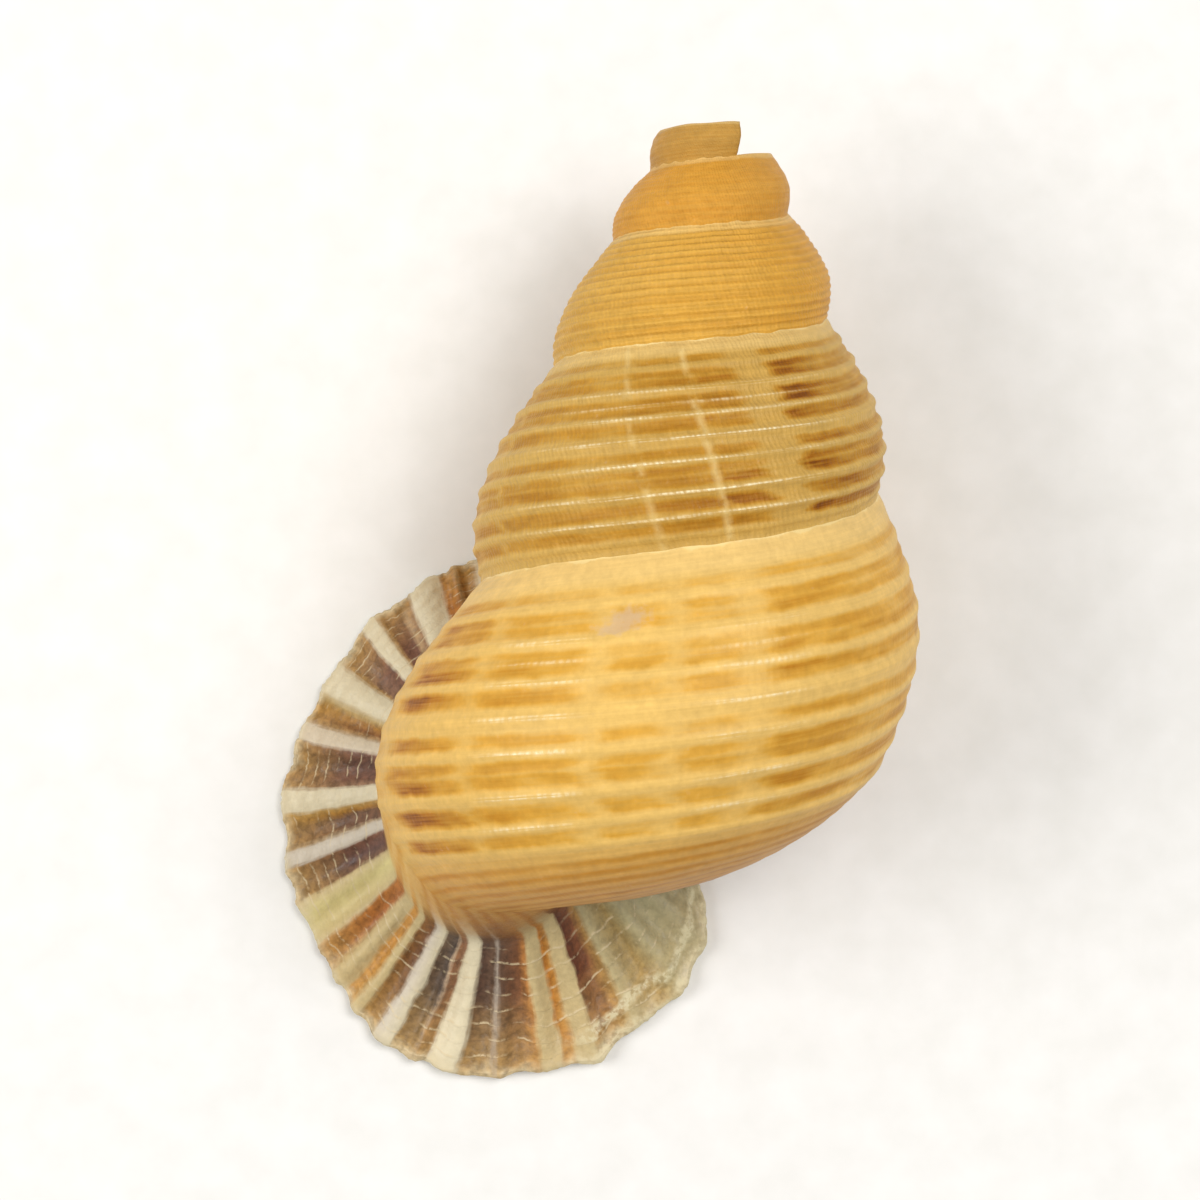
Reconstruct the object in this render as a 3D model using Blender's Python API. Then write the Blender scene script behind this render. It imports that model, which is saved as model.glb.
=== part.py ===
"""Land snail shell, one solid, resting on its lip: X to the right, Y towards the apex, Z up, floor at z = 0.

The outer surface is a grid of whorl profiles round a leaning axis. Turns are counted in half turns k,
even on the right, odd on the left. The lip is a pleated bell under the last half turn.
"""

import math

import bmesh
import bpy
import numpy as np

MM = 0.001

# Added to every point, so that the origin is under the middle of the bounding box.
SHIFT = (0.205, 0.455, 0.0)

# The axis runs from the apex to the base. Sizes are in millimetres.
AXIS_X = 2.875
AXIS_Y = 12.51
AXIS_LEAN = math.radians(4.5)
AXIS_PITCH = math.radians(4.0)
REST_ALONG = 12.3
REST_HEIGHT = 4.97             # axis above the floor; the belly's lowest spot is cut flat by 0.2 mm

# Suture and widest line of each half turn, as (radius, distance along the axis).
FIRST_K = -4
SUTURE = [(1.25, 1.12), (1.34, 1.97), (1.20, 2.19), (1.51, 2.84), (1.69, 3.56), (2.21, 4.50),
          (2.76, 5.81), (3.34, 7.43), (4.26, 9.70), (4.66, 12.58)]
WIDEST = [(1.41, 1.67), (1.53, 2.37), (1.73, 3.18), (2.25, 4.14), (2.81, 5.30), (3.40, 7.00),
          (4.33, 8.97), (4.91, 11.41), (5.45, 13.00), (6.75, 16.95)]
BASE = [
    [(4.66, 12.58), (4.25, 13.85), (3.55, 15.10), (2.55, 16.25), (1.35, 17.15), (0.35, 17.75)],
    [(4.84, 15.70), (4.02, 16.66), (3.00, 17.50), (2.02, 18.14), (1.14, 18.60), (0.35, 18.90)],
    [(6.00, 19.05), (5.15, 19.92), (4.15, 20.20), (2.85, 20.05), (1.40, 19.60), (0.35, 19.25)],
]

START = -3.6
BODY_START = 3.0
END = 5.0
STEPS = 12                      # per half turn
CORDS_SIDE = 11
CORDS_BASE = 6
SMOOTH_TOP = 0.10               # share of the side under the suture that has no cords
CORD_HIGH = 0.085
# The broken rim of the worn top, as (half turn, radius, along); the first turn is lost.
RIM = [(-3.6, 1.30, 1.66), (-3.33, 1.34, 1.76), (-3.0, 1.39, 1.98), (-2.85, 1.35, 2.14),
       (-2.6, 1.25, 2.25), (-2.0, 1.20, 2.22), (-1.6, 1.29, 2.38)]
CAP_ALONG = 2.22

# The lip seen from above: its outline as points from the top round by the left.
LIP_CENTRE = (-2.43, -4.88)
OUTLINE = [(-2.86, 1.01), (-4.06, 0.60), (-4.44, 0.22), (-5.55, -0.49), (-6.60, -1.96),
           (-7.19, -3.05), (-7.68, -4.51), (-7.65, -6.09), (-7.48, -7.07), (-6.80, -8.53),
           (-6.04, -9.87), (-5.34, -10.73), (-4.60, -11.16), (-3.65, -11.49), (-2.86, -11.62),
           (-1.59, -11.49), (-0.63, -11.34), (0.15, -11.09), (0.90, -10.37), (1.49, -9.99), (1.88, -9.63),
           (2.15, -9.26), (2.49, -8.53), (2.61, -7.68), (2.50, -7.19), (2.06, -6.45),
           (1.50, -5.50), (1.08, -4.34), (0.79, -3.07), (0.44, -1.80), (-0.16, -0.58),
           (-1.01, 0.37), (-1.90, 0.87)]
# Valleys between the lip's ribs, in degrees round the lip.
PLEATS = [99.5, 105.2, 120.8, 138.0, 156.0, 173.5, 192.0, 205.5, 217.0, 226.0, 234.0, 241.3, 251.0,
          256.6, 265.2, 274.0, 284.3, 296.5, 308.5, 319.7, 331.0, 344.0, 357.0, 371.0, 386.0, 402.0,
          419.0, 434.0, 447.0]
PLEAT_SAMPLES = 3
PLEAT_HIGH = 0.13
PLEAT_WAVE = 0.065
LIP_EDGE = 0.34
NECK_CENTRE = (-2.38, -4.30)
NECK = (2.70, 3.84)
NECK_TURN = math.radians(-16)
NECK_FULLER = 0.22             # the neck's bulge where it leaves the base, below
NECK_HIGH = 1.55
PARIETAL = (325.0, 445.0)       # the lip's angles where its neck runs inside the body

WALL = 0.42
MOUTH_INSET = 0.55
THROAT_END = 3.9


def spline(table, k):
    """A Catmull-Rom curve through a table with one entry per half turn."""
    points = np.array(table, float)
    place = min(max(k - FIRST_K, 0.0), len(points) - 1.0)
    i = min(int(place), len(points) - 2)
    f = place - i
    padded = np.vstack([2 * points[0] - points[1], points, 2 * points[-1] - points[-2]])
    a, b, c, d = padded[i:i + 4]
    return 0.5 * (2 * b + (c - a) * f + (2 * a - 5 * b + 4 * c - d) * f ** 2
                  + (3 * b - a - 3 * c + d) * f ** 3)


def suture(k):
    """The upper edge of half turn k: the broken rim on the first turn, and then the suture."""
    if k >= RIM[-1][0]:
        return spline(SUTURE, k)
    turns, out, along = zip(*RIM)
    return np.array([np.interp(k, turns, out), np.interp(k, turns, along)])


def base_points(k):
    """The base's guide points at half turn k, a parabola through those at 3, 4 and 5."""
    t = k - BODY_START
    first, second, third = (np.array(row, float) for row in BASE)
    return first * (t - 1) * (t - 2) / 2 - second * t * (t - 2) + third * t * (t - 1) / 2


def side_curve(k, low):
    """Points from the suture out to the widest line and in to the point `low`."""
    top = suture(k)
    wide = spline(WIDEST, k)
    t = np.linspace(0, 1, 25)[:, None]
    upper = top + (wide - top) * np.hstack([np.sin(t * math.pi / 2), t])
    lower = wide + (low - wide) * np.hstack([1 - np.cos(t * math.pi / 2), t])
    return np.vstack([upper, lower[1:]])


def smooth_line(points, count=12):
    """A Catmull-Rom line through the points."""
    padded = np.vstack([2 * points[0] - points[1], points, 2 * points[-1] - points[-2]])
    out = []
    for i in range(len(points) - 1):
        a, b, c, d = padded[i:i + 4]
        for f in np.arange(count) / count:
            out.append(0.5 * (2 * b + (c - a) * f + (2 * a - 5 * b + 4 * c - d) * f ** 2
                              + (3 * b - a - 3 * c + d) * f ** 3))
    out.append(points[-1])
    return np.array(out)


def spaced(points, shares):
    """Points at the given shares of the line's length."""
    steps = np.hypot(*np.diff(points, axis=0).T)
    along = np.concatenate([[0], np.cumsum(steps)])
    wanted = np.array(shares) * along[-1]
    return np.stack([np.interp(wanted, along, points[:, i]) for i in (0, 1)], axis=1)


def outward(points):
    """The unit vectors that point away from the axis, across a profile line."""
    along = np.gradient(points, axis=0)
    across = np.stack([along[:, 1], -along[:, 0]], axis=1)
    return across / np.maximum(np.hypot(*across.T)[:, None], 1e-9)


def cord_rows(cords, start):
    """Shares of a line at the valleys and ridges of its cords, with +1 on a ridge and -1 in a valley."""
    shares = start + (1 - start) * np.arange(2 * cords + 1) / (2 * cords)
    signs = np.where(np.arange(2 * cords + 1) % 2, 1.0, -1.0)
    return shares, signs


def cord_strength(k):
    """Cords are faint on the first turns and full from the third."""
    return CORD_HIGH * min(max((k + 1.5) / 4.5, 0.0), 1.0)


def profile(k):
    """Rows (radius, along) of half turn k, from the suture to the lower suture, or to the base's pole."""
    on_body = k >= BODY_START - 1e-9
    low = base_points(k)[0] if on_body else spline(SUTURE, k + 2)
    shares, signs = cord_rows(CORDS_SIDE, SMOOTH_TOP)
    shares = np.concatenate([[0.0, SMOOTH_TOP / 2], shares])
    signs = np.concatenate([[0.0, 0.0], signs])
    signs[-1] = 0.0
    line = spaced(side_curve(k, low), shares)
    rows = line + outward(line) * (signs * cord_strength(k) / 2)[:, None]
    if not on_body:
        return rows
    shares, signs = cord_rows(CORDS_BASE, 0.0)
    signs[[0, -1]] = 0.0
    line = spaced(smooth_line(base_points(k)), shares)
    base = line + outward(line) * (signs * cord_strength(k) * 0.3)[:, None]
    return np.vstack([rows, base[1:]])


def axis_frame():
    """Unit vectors: down the axis, across it to the right, and across it upwards."""
    lean, pitch = AXIS_LEAN, AXIS_PITCH
    down = np.array([-math.sin(lean) * math.cos(pitch), -math.cos(lean) * math.cos(pitch),
                     -math.sin(pitch)])
    right = np.array([math.cos(lean), -math.sin(lean), 0.0])
    return down, right, np.cross(down, right)


def place(k, rows):
    """Rows (radius, along) of half turn k as points in space."""
    down, right, up = axis_frame()
    rows = np.atleast_2d(rows)
    out = math.cos(math.pi * k) * right + math.sin(math.pi * k) * up
    lift = REST_HEIGHT + REST_ALONG * math.sin(AXIS_PITCH)
    origin = np.array([AXIS_X, AXIS_Y, lift])
    return origin + rows[:, :1] * out + rows[:, 1:] * down


def body_mesh():
    """The filled spiral body: the grid of profiles, the worn top and the section where the lip starts."""
    count = round((END - START) * STEPS)
    ks = END - (count - np.arange(count + 1)) / STEPS
    side = 2 * CORDS_SIDE + 2
    points, rows, ids = [], [], {}
    for i, k in enumerate(ks):
        rows.append(place(k, profile(k)))
    for i, ring in enumerate(rows):
        for j, point in enumerate(ring):
            if j == 0 and i >= 2 * STEPS:
                ids[i, 0] = ids[i - 2 * STEPS, side]
                continue
            ids[i, j] = len(points)
            points.append(point)
    faces = []
    for i in range(count):
        for j in range(min(len(rows[i]), len(rows[i + 1])) - 1):
            faces.append((ids[i, j], ids[i, j + 1], ids[i + 1, j + 1], ids[i + 1, j]))
    top = len(points)
    points.append(place(0, (0.0, CAP_ALONG))[0])
    for i in range(2 * STEPS):
        faces.append((ids[i, 0], ids[i + 1, 0], top))
    for j in range(side):
        faces.append((ids[0, j + 1], ids[0, j], top))
    pole = len(points)
    points.append(place(0, (0.0, 18.9))[0])
    last = len(rows[-1]) - 1
    first = count - 2 * STEPS
    for i in range(first, count):
        faces.append((ids[i + 1, last], ids[i, last], pole))
    section = [ids[count, j] for j in range(last + 1)] + [pole]
    section += [ids[first, j] for j in range(last, side, -1)]
    faces.append(tuple(section))
    return np.array(points), faces


def ring_angles():
    """Angles round the lip and the pleat's phase at each, in turns."""
    ends = PLEATS + [PLEATS[0] + 360]
    angles, phases = [], []
    for i in range(len(PLEATS)):
        for n in range(PLEAT_SAMPLES):
            angles.append(ends[i] + (ends[i + 1] - ends[i]) * n / PLEAT_SAMPLES)
            phases.append(n / PLEAT_SAMPLES)
    return np.radians(angles), np.array(phases)


def polar_radius(outline, centre, angles):
    """How far a closed outline is from the centre at each angle."""
    offset = np.array(outline) - centre
    at = np.unwrap(np.arctan2(offset[:, 1], offset[:, 0]))
    reach = np.hypot(*offset.T)
    order = np.argsort(at % (2 * math.pi))
    return np.interp(angles, (at % (2 * math.pi))[order], reach[order], period=2 * math.pi)


def smooth_outline(points):
    """The closed outline with points in between."""
    loop = np.array(points + points[:3], float)
    line = smooth_line(loop)
    return line[12:-24]


def neck_radius(angles):
    """The neck's oval seen from above, fuller where it leaves the base."""
    turned = angles - NECK_TURN
    fuller = NECK_FULLER * np.exp(-((np.degrees(angles) % 360 - 282) / 22) ** 2)
    return 1 / np.hypot(np.cos(turned) / NECK[0], np.sin(turned) / NECK[1]) + fuller


def section_outline():
    """The tube's section where the lip starts, seen from above."""
    outer = place(END, profile(END))
    inner = place(BODY_START, profile(BODY_START))[2 * CORDS_SIDE + 3:]
    return np.vstack([outer, inner[::-1]])


def section_height(xy):
    """The height of the section's plane at points seen from above."""
    up = axis_frame()[2]
    origin = place(0, (0.0, 0.0))[0]
    return origin[2] - ((xy - origin[:2]) @ up[:2]) / up[2]


def ring(centre, angles, reach, height):
    spot = np.array(centre) + np.stack([np.cos(angles), np.sin(angles)], axis=1) * reach[:, None]
    return np.column_stack([spot, np.broadcast_to(height, len(spot))])


def lip_rings(angles, phases):
    """Rings of the bell's upper side, from inside the body to the edge of the lip."""
    section = section_outline()
    middle = np.array([-2.95, -3.75])
    reach = polar_radius(section[:, :2], middle, angles)
    turned = (np.degrees(angles) - PARIETAL[0]) % 360 / (PARIETAL[1] - PARIETAL[0])
    buried = np.sin(math.pi * np.clip(turned, 0, 1)) ** 0.3
    rings = []
    inside = ring(middle, angles, reach * 0.80 + 0.5 * buried, 0.0)
    inside[:, 2] = section_height(inside[:, :2]) + 0.7
    start = ring(middle, angles, reach * 0.985 + 0.45 * buried, 0.0)
    start[:, 2] = section_height(start[:, :2])
    neck = ring(NECK_CENTRE, angles, neck_radius(angles), NECK_HIGH)
    rings += [inside, start]
    for t in (0.2, 0.5, 0.75):
        blend = t * t * (3 - 2 * t)
        mixed = start + (neck - start) * blend
        mixed[:, 2] = start[:, 2] + (neck[:, 2] - start[:, 2]) * t
        rings.append(mixed)
    rib = -np.cos(2 * math.pi * phases)
    edge_reach = polar_radius(smooth_outline(OUTLINE), LIP_CENTRE, angles) + PLEAT_WAVE * rib
    edge = ring(LIP_CENTRE, angles, edge_reach, LIP_EDGE)
    for f in (0.0, 0.12, 0.3, 0.55, 0.8, 1.0):
        flare = neck + (edge - neck) * f
        flare[:, 2] = LIP_EDGE + (NECK_HIGH - LIP_EDGE) * (1 - f) ** 2
        flare[:, 2] += PLEAT_HIGH * rib * math.sin(math.pi * min(f * 0.8, 0.5)) * (0.4 if f == 1 else 1)
        rings.append(flare)
    floor = edge.copy()
    floor[:, 2] = -0.3
    rings.append(floor)
    return rings


def mouth_rings(angles, phases):
    """Rings of the hollow, from below the floor up the throat and back round the spiral."""
    rib = -np.cos(2 * math.pi * phases)
    edge_reach = polar_radius(smooth_outline(OUTLINE), LIP_CENTRE, angles)
    edge = ring(LIP_CENTRE, angles, edge_reach - MOUTH_INSET, 0.0)
    neck = ring(NECK_CENTRE, angles, neck_radius(angles) - WALL, NECK_HIGH * 0.80)
    rings = []
    below = edge.copy()
    below[:, 2] = -0.6
    rings += [below, edge]
    for f in (0.22, 0.5, 0.78, 1.0):
        mixed = edge + (neck - edge) * f
        mixed[:, 2] = neck[:, 2] * f ** 2.2 + 0.05 * rib * math.sin(math.pi * f)
        rings.append(mixed)
    section = section_outline()
    middle = np.array([-2.95, -3.75])
    reach = polar_radius(section[:, :2], middle, angles)
    reach = np.minimum(reach - WALL - 0.1, 3.1)
    soft = np.array([np.mean([np.interp(a + d, angles, reach, period=2 * math.pi)
                              for d in np.linspace(-0.35, 0.35, 9)]) for a in angles])
    throat = ring(middle, angles, soft, 0.0)
    throat[:, 2] = section_height(throat[:, :2])
    middle_ring = (neck + throat) / 2
    rings += [middle_ring, throat]
    down, right, _ = axis_frame()
    origin = place(0, (0.0, 0.0))[0]
    flat = np.stack([(throat - origin) @ -right, (throat - origin) @ down], axis=1)
    wide_end = spline(WIDEST, END)
    for k in np.linspace(END, THROAT_END, 6)[1:]:
        wide = spline(WIDEST, k)
        size = wide[0] / wide_end[0]
        rows = np.column_stack([flat[:, 0] * size, wide[1] + (flat[:, 1] - wide_end[1]) * size])
        rings.append(place(k, rows))
    return rings


def ring_solid(rings):
    """Closed mesh through rings of equal count, both ends filled."""
    count = len(rings[0])
    points = np.vstack(rings)
    faces = []
    for r in range(len(rings) - 1):
        for i in range(count):
            j = (i + 1) % count
            a, b = r * count, (r + 1) * count
            faces.append((a + i, a + j, b + j, b + i))
    faces.append(tuple(range(count))[::-1])
    faces.append(tuple(range((len(rings) - 1) * count, len(rings) * count)))
    return points, faces


def box_mesh(low, high):
    """Corners and faces of a box."""
    ends = (low, high)
    points = [np.array((ends[x][0], ends[y][1], ends[z][2]), float)
              for z in (0, 1) for y in (0, 1) for x in (0, 1)]
    return points, [(0, 1, 3, 2), (4, 5, 7, 6), (0, 1, 5, 4), (2, 3, 7, 6), (0, 2, 6, 4), (1, 3, 7, 5)]


def add_mesh(name, points, faces, collection):
    """A mesh object from points in millimetres, its faces turned outwards."""
    mesh = bpy.data.meshes.new(name)
    placed = [tuple((p + np.array(SHIFT)) * MM) for p in points]
    mesh.from_pydata(placed, [], [tuple(map(int, f)) for f in faces])
    work = bmesh.new()
    work.from_mesh(mesh)
    bmesh.ops.recalc_face_normals(work, faces=work.faces[:])
    if work.calc_volume(signed=True) < 0:
        bmesh.ops.reverse_faces(work, faces=work.faces[:])
    bmesh.ops.triangulate(work, faces=[f for f in work.faces if len(f.verts) > 4])
    work.to_mesh(mesh)
    work.free()
    obj = bpy.data.objects.new(name, mesh)
    collection.objects.link(obj)
    return obj


def add_boolean(obj, name, operation, other):
    modifier = obj.modifiers.new(name, "BOOLEAN")
    modifier.operation = operation
    modifier.solver = "EXACT"
    modifier.object = other
    modifier.show_render = modifier.show_viewport


def add_material(obj):
    material = bpy.data.materials.new("shell_calcite")
    material.use_nodes = True
    shader = material.node_tree.nodes["Principled BSDF"]
    shader.inputs["Base Color"].default_value = (0.72, 0.47, 0.20, 1)
    shader.inputs["Roughness"].default_value = 0.45
    obj.data.materials.append(material)


def main():
    for obj in list(bpy.data.objects):
        bpy.data.objects.remove(obj, do_unlink=True)
    parts = bpy.data.collections.new("chondrothyra_shell")
    cutters = bpy.data.collections.new("cutters")
    for group in (parts, cutters):
        bpy.context.scene.collection.children.link(group)
    shell = add_mesh("shell", *body_mesh(), parts)
    angles, phases = ring_angles()
    lip = add_mesh("lip_bell", *ring_solid(lip_rings(angles, phases)), cutters)
    hollow = add_mesh("throat_hollow", *ring_solid(mouth_rings(angles, phases)), cutters)
    floor = add_mesh("floor_cut", *box_mesh((-12, -16, -3), (12, 16, 0)), cutters)
    for helper in (lip, hollow, floor):
        helper.hide_render = True
        helper.display_type = "WIRE"
    add_boolean(shell, "join_lip", "UNION", lip)
    add_boolean(shell, "cut_throat", "DIFFERENCE", hollow)
    add_boolean(shell, "cut_floor", "DIFFERENCE", floor)
    add_material(shell)


main()
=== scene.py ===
"""A ribbed land snail shell with a flared, pleated lip, lying on the lip on a pale table.

The whole shell is one grown surface: whorl by whorl from the worn top, round the base, into the neck and
the flare of the lip, over the lip's edge and up the throat. Sizes are in millimetres until the mesh is made.
"""

import math
from functools import partial

import bmesh
import bpy
import numpy as np
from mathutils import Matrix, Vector


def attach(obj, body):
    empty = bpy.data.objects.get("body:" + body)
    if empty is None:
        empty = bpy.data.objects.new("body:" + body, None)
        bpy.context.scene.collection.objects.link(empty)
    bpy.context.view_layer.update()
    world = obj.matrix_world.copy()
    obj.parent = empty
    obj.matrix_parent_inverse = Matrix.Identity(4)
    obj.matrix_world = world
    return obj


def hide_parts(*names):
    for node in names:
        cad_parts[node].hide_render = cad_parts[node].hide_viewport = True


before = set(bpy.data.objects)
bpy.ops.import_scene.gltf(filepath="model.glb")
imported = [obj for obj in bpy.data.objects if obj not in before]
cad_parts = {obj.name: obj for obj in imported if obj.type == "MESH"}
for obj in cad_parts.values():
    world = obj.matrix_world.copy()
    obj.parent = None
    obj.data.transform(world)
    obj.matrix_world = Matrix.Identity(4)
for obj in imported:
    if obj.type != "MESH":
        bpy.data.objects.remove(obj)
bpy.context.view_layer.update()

MM = 0.001
SHIFT = np.array([0.205, 0.455, 0.0])

# The axis of coiling, from the worn top to the base.
AXIS_X = 2.875
AXIS_Y = 12.51
AXIS_LEAN = math.radians(4.5)
AXIS_PITCH = math.radians(4.0)
REST_ALONG = 12.3
REST_HEIGHT = 4.97

# Suture and widest line of each half turn, as (radius, distance along the axis).
FIRST_K = -4
SUTURE = [(1.25, 1.12), (1.34, 1.97), (1.20, 2.19), (1.51, 2.84), (1.69, 3.56), (2.21, 4.50), (2.76, 5.81),
          (3.34, 7.43), (4.26, 9.70), (4.66, 12.58)]
WIDEST = [(1.41, 1.67), (1.53, 2.37), (1.73, 3.18), (2.25, 4.14), (2.81, 5.30), (3.40, 7.00), (4.33, 8.97),
          (4.91, 11.41), (5.45, 13.00), (6.75, 16.95)]
BASE = [[(4.66, 12.58), (4.25, 13.85), (3.55, 15.10), (2.55, 16.25), (1.35, 17.15), (0.35, 17.75)],
        [(4.84, 15.70), (4.02, 16.66), (3.00, 17.50), (2.02, 18.14), (1.14, 18.60), (0.35, 18.90)],
        [(6.00, 19.05), (5.15, 19.92), (4.15, 20.20), (2.85, 20.05), (1.40, 19.60), (0.35, 19.25)], ]
RIM = [(-3.6, 1.30, 1.66), (-3.33, 1.34, 1.76), (-3.0, 1.39, 1.98), (-2.85, 1.35, 2.14), (-2.6, 1.25, 2.25),
       (-2.0, 1.20, 2.22), (-1.6, 1.29, 2.38)]
CAP_ALONG = 2.22
START = -3.6
BODY_START = 3.0
END = 5.0

STEPS = 80                      # columns per half turn
SIDE_ROWS = 84
BASE_ROWS = 46
CAP_RINGS = 6

# Spiral cords, as (cord line, half width, height). The cord line is 0 at the suture and 1 at the base.
CORDS = [(0.065, 0.020, 0.020), (0.183, 0.020, 0.070), (0.245, 0.011, 0.030), (0.315, 0.020, 0.080),
         (0.385, 0.011, 0.035), (0.452, 0.022, 0.080), (0.565, 0.022, 0.080), (0.677, 0.020, 0.080),
         (0.740, 0.011, 0.035), (0.818, 0.021, 0.085), (0.930, 0.020, 0.075), (1.025, 0.014, 0.045),
         (1.075, 0.012, 0.030), (1.125, 0.012, 0.030), (1.18, 0.012, 0.026), (1.235, 0.012, 0.024),
         (1.295, 0.012, 0.022), (1.36, 0.012, 0.020), (1.43, 0.013, 0.018), (1.51, 0.014, 0.014)]
EARLY_SPACING = 0.066
# Halts in growth, as (age in half turns, height of the ridge).
HALTS = [(0.47, 0.012), (1.30, 0.020), (2.50, 0.008), (2.614, 0.014), (3.42, 0.020), (4.375, 0.008),
         (4.59, 0.008), (4.765, 0.010), (4.925, 0.040)]
# The rubbed patch, as ((half turn, cord line), half width, half height) of its two lobes.
SCAR = [((4.574, 0.245), 0.024, 0.036), ((4.588, 0.278), 0.030, 0.028)]

# The lip seen from above: its outline as points from the top round by the left.
LIP_CENTRE = (-2.43, -4.88)
OUTLINE = [(-2.86, 1.01), (-4.06, 0.60), (-4.44, 0.22), (-5.55, -0.49), (-6.60, -1.96), (-7.19, -3.05),
           (-7.68, -4.51), (-7.65, -6.09), (-7.48, -7.07), (-6.80, -8.53), (-6.04, -9.87), (-5.34, -10.73),
           (-4.60, -11.16), (-3.65, -11.49), (-2.86, -11.62), (-1.59, -11.49), (-0.63, -11.34),
           (0.15, -11.09), (0.90, -10.37), (1.49, -9.99), (1.88, -9.63), (2.15, -9.26), (2.49, -8.53),
           (2.61, -7.68), (2.50, -7.19), (2.06, -6.45), (1.50, -5.50), (1.08, -4.34), (0.79, -3.07),
           (0.44, -1.80), (-0.16, -0.58), (-1.01, 0.37), (-1.90, 0.87)]
MIDDLE = (-2.95, -3.75)
# Valleys between the lip's ribs, in degrees round the lip.
PLEATS = [99.5, 105.2, 120.8, 138.0, 156.0, 173.5, 192.0, 205.5, 217.0, 226.0, 234.0, 241.3, 251.0, 256.6,
          265.2, 274.0, 284.3, 296.5, 308.5, 319.7, 331.0, 344.0, 357.0, 371.0, 386.0, 402.0, 419.0, 434.0,
          447.0]
PLEAT_HIGH = 0.10
PLEAT_WAVE = 0.05
LIP_EDGE = 0.34
NECK_CENTRE = (-2.38, -4.30)
NECK = (2.70, 3.84)
NECK_TURN = math.radians(-16)
NECK_FULLER = 0.22
NECK_HIGH = 1.55
WALL = 0.42
MOUTH_INSET = 0.55
THROAT_END = 3.9
LIP_COLUMNS = 480
NECK_RINGS, FLARE_RINGS, MOUTH_RINGS, THROAT_RINGS, SPIRAL_RINGS = 12, 28, 8, 4, 7
FIRST_RING = 0.04               # how far down the neck the first ring lies
RAY_LEAN = 5.0                  # degrees that the ribs and rays turn back from the neck to the edge


def smooth_step(x, low, high):
    """0 below low, 1 above high, and an even S between them."""
    t = np.clip((np.asarray(x, float) - low) / (high - low), 0.0, 1.0)
    return t * t * (3 - 2 * t)


def ripple(a, b, seed):
    """A smooth uneven value from about -1 to 1 at places (a, b), the same in every run."""
    dice = np.random.default_rng(seed)
    total = np.zeros(np.broadcast(a, b).shape)
    for _ in range(7):
        turn, size, start = dice.uniform(0, 2 * math.pi), dice.uniform(0.5, 1.6), dice.uniform(0, 6.28)
        total = total + np.sin((a * math.cos(turn) + b * math.sin(turn)) * size + start)
    return total / 3.5


def catmull_rom(a, b, c, d, f):
    """The point at share f between b and c, on the smooth curve that also passes a and d."""
    return 0.5 * (2 * b + (c - a) * f + (2 * a - 5 * b + 4 * c - d) * f ** 2
                  + (3 * b - a - 3 * c + d) * f ** 3)


def padded(points):
    """The points with one more at each end, in line with the last two."""
    return np.vstack([2 * points[0] - points[1], points, 2 * points[-1] - points[-2]])


def spline(table, k):
    """The curve through a table with one entry per half turn."""
    points = np.array(table, float)
    place_on = min(max(k - FIRST_K, 0.0), len(points) - 1.0)
    i = min(int(place_on), len(points) - 2)
    return catmull_rom(*padded(points)[i:i + 4], place_on - i)


def suture(k):
    """The upper edge of half turn k: the broken rim on the first turn, and then the suture."""
    if k >= RIM[-1][0]:
        return spline(SUTURE, k)
    turns, out, along = zip(*RIM)
    return np.array([np.interp(k, turns, out), np.interp(k, turns, along)])


def base_points(k):
    """The base's guide points at half turn k."""
    t = k - BODY_START
    first, second, third = (np.array(row, float) for row in BASE)
    return first * (t - 1) * (t - 2) / 2 - second * t * (t - 2) + third * t * (t - 1) / 2


def side_curve(k, low):
    """Points from the suture out to the widest line and in to the point `low`."""
    top = suture(k)
    wide = spline(WIDEST, k)
    t = np.linspace(0, 1, 60)[:, None]
    upper = top + (wide - top) * np.hstack([np.sin(t * math.pi / 2), t])
    lower = wide + (low - wide) * np.hstack([1 - np.cos(t * math.pi / 2), t])
    return np.vstack([upper, lower[1:]])


def smooth_line(points, count=24):
    """The points with count - 1 more between each two."""
    line = padded(points)
    out = [catmull_rom(*line[i:i + 4], f) for i in range(len(points) - 1) for f in np.arange(count) / count]
    return np.array(out + [points[-1]])


def spaced(points, shares):
    """Points at the given shares of the line's length, and that length."""
    steps = np.hypot(*np.diff(points, axis=0).T)
    along = np.concatenate([[0], np.cumsum(steps)])
    wanted = np.array(shares) * along[-1]
    return np.stack([np.interp(wanted, along, points[:, i]) for i in (0, 1)], axis=1), along[-1]


def outward(points):
    """The unit vectors that point away from the axis, across a profile line."""
    along = np.gradient(points, axis=0)
    across = np.stack([along[:, 1], -along[:, 0]], axis=1)
    return across / np.maximum(np.hypot(*across.T)[:, None], 1e-9)


def thread_count(k):
    """Axial threads up to half turn k: 84 in an early half turn, 118 in a late one."""
    ks = np.linspace(-4.0, 5.0, 181)
    counts = np.concatenate([[0], np.cumsum(np.interp(ks[1:], [0.8, 2.2], [84.0, 118.0]) * 0.05)])
    return np.interp(k, ks, counts)


def cord_relief(cord, k):
    """Height of the spiral cords at cord lines of half turn k; they are faint on the first turns."""
    strength = np.interp(k, [0.9, 1.8, 3.2, 4.0], [0.0, 1.0, 1.0, 0.65])
    high = np.zeros_like(cord)
    for line, half, height in CORDS:
        high += height * np.exp(-((cord - line) / half) ** 2)
    high = (high - 0.028 * smooth_step(cord, 0.08, 0.2)) * strength
    # The early whorls have a dozen even cords instead.
    early = np.interp(k, [-1.6, -0.4, 0.9, 1.8], [0.0, 0.5, 1.0, 0.0])
    even = np.cos(2 * math.pi * (cord - 0.13) / EARLY_SPACING) * smooth_step(cord, 0.08, 0.16)
    return high + 0.021 * early * even


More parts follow.
